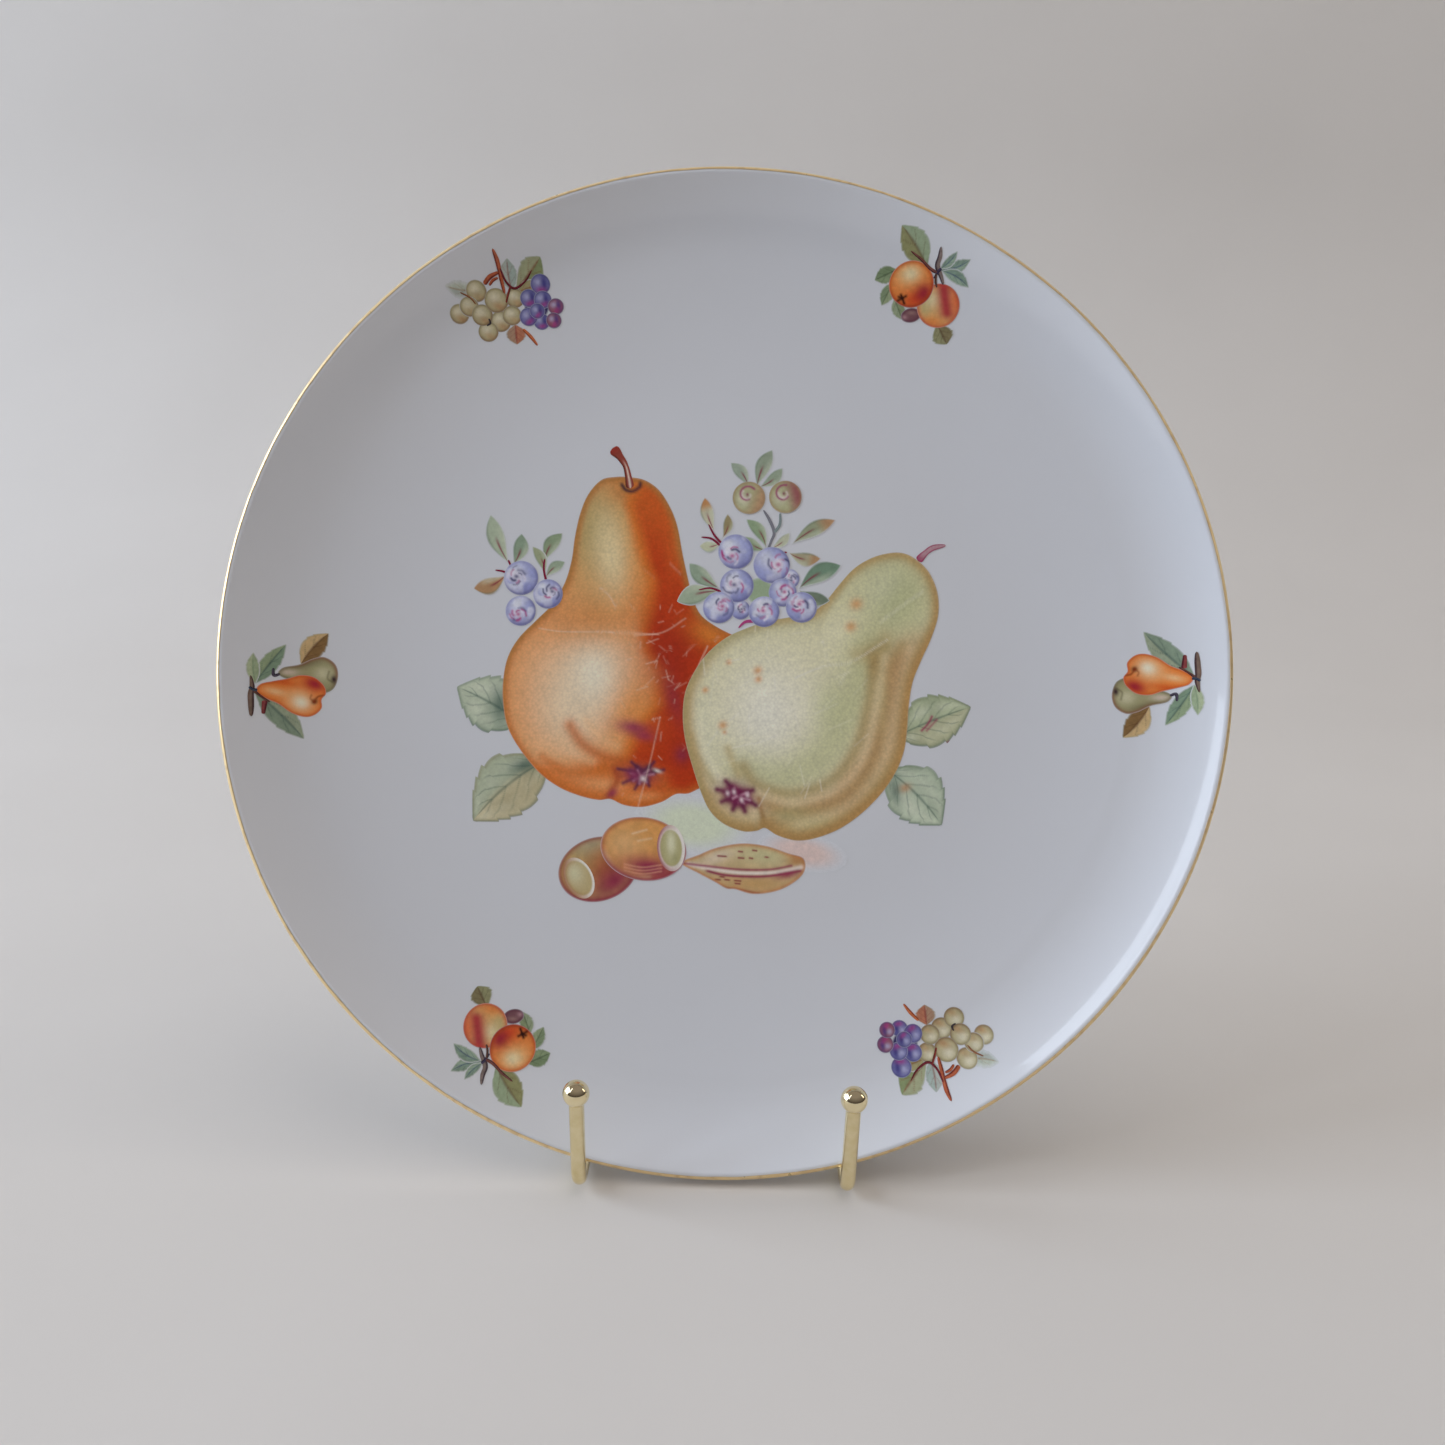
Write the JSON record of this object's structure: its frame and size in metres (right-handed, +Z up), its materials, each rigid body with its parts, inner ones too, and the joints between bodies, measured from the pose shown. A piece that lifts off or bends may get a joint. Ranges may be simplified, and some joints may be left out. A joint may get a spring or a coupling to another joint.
{
  "type": "decorated plate on a display stand",
  "caption": "Round porcelain plate with a gilded lip and painted fruit, held leaning back in a folding brass wire stand with ball-ended prongs.",
  "frame": {"origin": "on the table, in the middle of the object's box", "axes": "+X to the viewer's right across the plate, -Y towards the viewer, +Z up"},
  "size_m": [0.2804, 0.162, 0.2652],
  "materials": {
    "glazed_porcelain": "clear glossy glaze over cool white porcelain",
    "gilding": "burnished gold line with hand wear",
    "amber_enamel": "fired overglaze colour, glossy",
    "green_enamel": "fired overglaze colour, glossy",
    "leaf_enamel": "fired overglaze colour, glossy",
    "berry_enamel": "fired overglaze colour, glossy",
    "nut_enamel": "fired overglaze colour, glossy",
    "spray_enamels": "fired overglaze colours, glossy",
    "satin_brass": "satin, drawn wire",
    "polished_brass": "mirror polished"
  },
  "bodies": {
    "stand": {"side_wire_left": "satin_brass", "side_wire_right": "satin_brass", "top_arch_left": "satin_brass", "top_arch_right": "satin_brass", "cross_brace": "satin_brass", "prong_ball_left": "polished_brass", "prong_ball_right": "polished_brass", "hinge_lug_left": "satin_brass", "hinge_lug_right": "satin_brass", "hinge_rivet_left": "satin_brass", "hinge_rivet_right": "satin_brass"},
    "rear_leg": {"leg_wire_left": "satin_brass", "leg_wire_right": "satin_brass", "foot_bar": "satin_brass", "stop_bar": "satin_brass"},
    "plate": {"porcelain_body": "glazed_porcelain", "gilt_line": "gilding", "pear_amber": "amber_enamel", "pear_green": "green_enamel", "leaves_left": "leaf_enamel", "leaves_right": "leaf_enamel", "berries_left": "berry_enamel", "berries_centre": "berry_enamel", "hazelnuts": "nut_enamel", "almond": "nut_enamel", "spray_pears_left": "spray_enamels", "spray_pears_right": "spray_enamels", "spray_apricots_top": "spray_enamels", "spray_apricots_bottom": "spray_enamels", "spray_grapes_top": "spray_enamels", "spray_grapes_bottom": "spray_enamels"}
  },
  "joints": [
    {"name": "plate_lift", "type": "slide", "parent": "stand", "child": "plate", "axis": [0, 0.342, 0.9397], "range_m": [0, 0.06]},
    {"name": "leg_fold", "type": "hinge", "parent": "stand", "child": "rear_leg", "pos_m": [0, 0.02641, 0.16435], "axis": [-1, 0, 0], "range_deg": [0, 38]}
  ]
}
